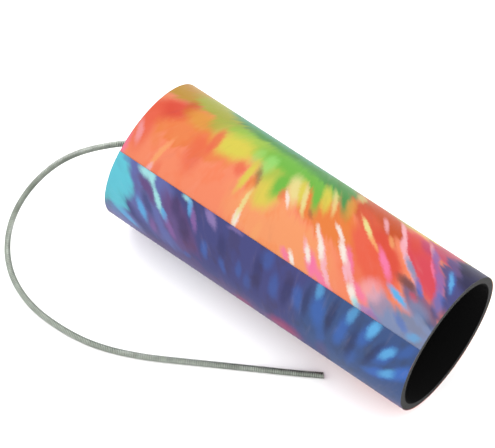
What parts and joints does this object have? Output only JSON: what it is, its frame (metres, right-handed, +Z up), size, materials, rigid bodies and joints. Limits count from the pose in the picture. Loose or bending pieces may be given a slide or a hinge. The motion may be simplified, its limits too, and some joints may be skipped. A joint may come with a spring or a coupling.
{
  "type": "spring drum",
  "caption": "Toy sound-effect drum: a printed board tube open at one end, with a film head in the other end and a long thin coil spring hanging from the head's centre.",
  "frame": {"origin": "on the surface the drum lies on, under the middle of the tube, measured without the spring's free part", "axes": "+X along the tube toward its open end, +Z up, +Y away from the side where the spring comes back beside the drum"},
  "size_m": [0.22, 0.1298, 0.0745],
  "materials": {
    "board": "black fibreboard, matte, cut edge slightly fibrous",
    "lining": "flat black lining paper",
    "cover": "satin coated paper, spiral tie-dye print in orange, red, yellow, green, purple and blue",
    "hoop": "black board hoop",
    "film": "frosted polyester film",
    "patch": "self-adhesive vinyl disc",
    "eyelet": "nickel-plated brass",
    "hardware": "zinc-plated steel",
    "coil": "bare spring-steel wire, close wound"
  },
  "bodies": {
    "drum": {"shell_tube": "board", "inner_liner": "lining", "printed_cover": "cover", "head_hoop": "hoop", "drumhead_film": "film", "outer_patch": "patch", "inner_patch": "patch", "eyelet": "eyelet", "backing_washer": "hardware"},
    "coil_end": {"keeper_ferrule": "hardware", "coil_root": "coil"},
    "coil": {"coil_spring": "coil"}
  },
  "joints": [
    {"name": "spring_turn", "type": "hinge", "parent": "drum", "child": "coil_end", "pos_m": [-0.086, 0, 0.03725], "axis": [1, 0, 0], "continuous": true},
    {"name": "spring_swing", "type": "hinge", "parent": "coil_end", "child": "coil", "pos_m": [-0.092, 0, 0.03725], "axis": [0, 0, 1], "range_deg": [-45, 5]}
  ]
}
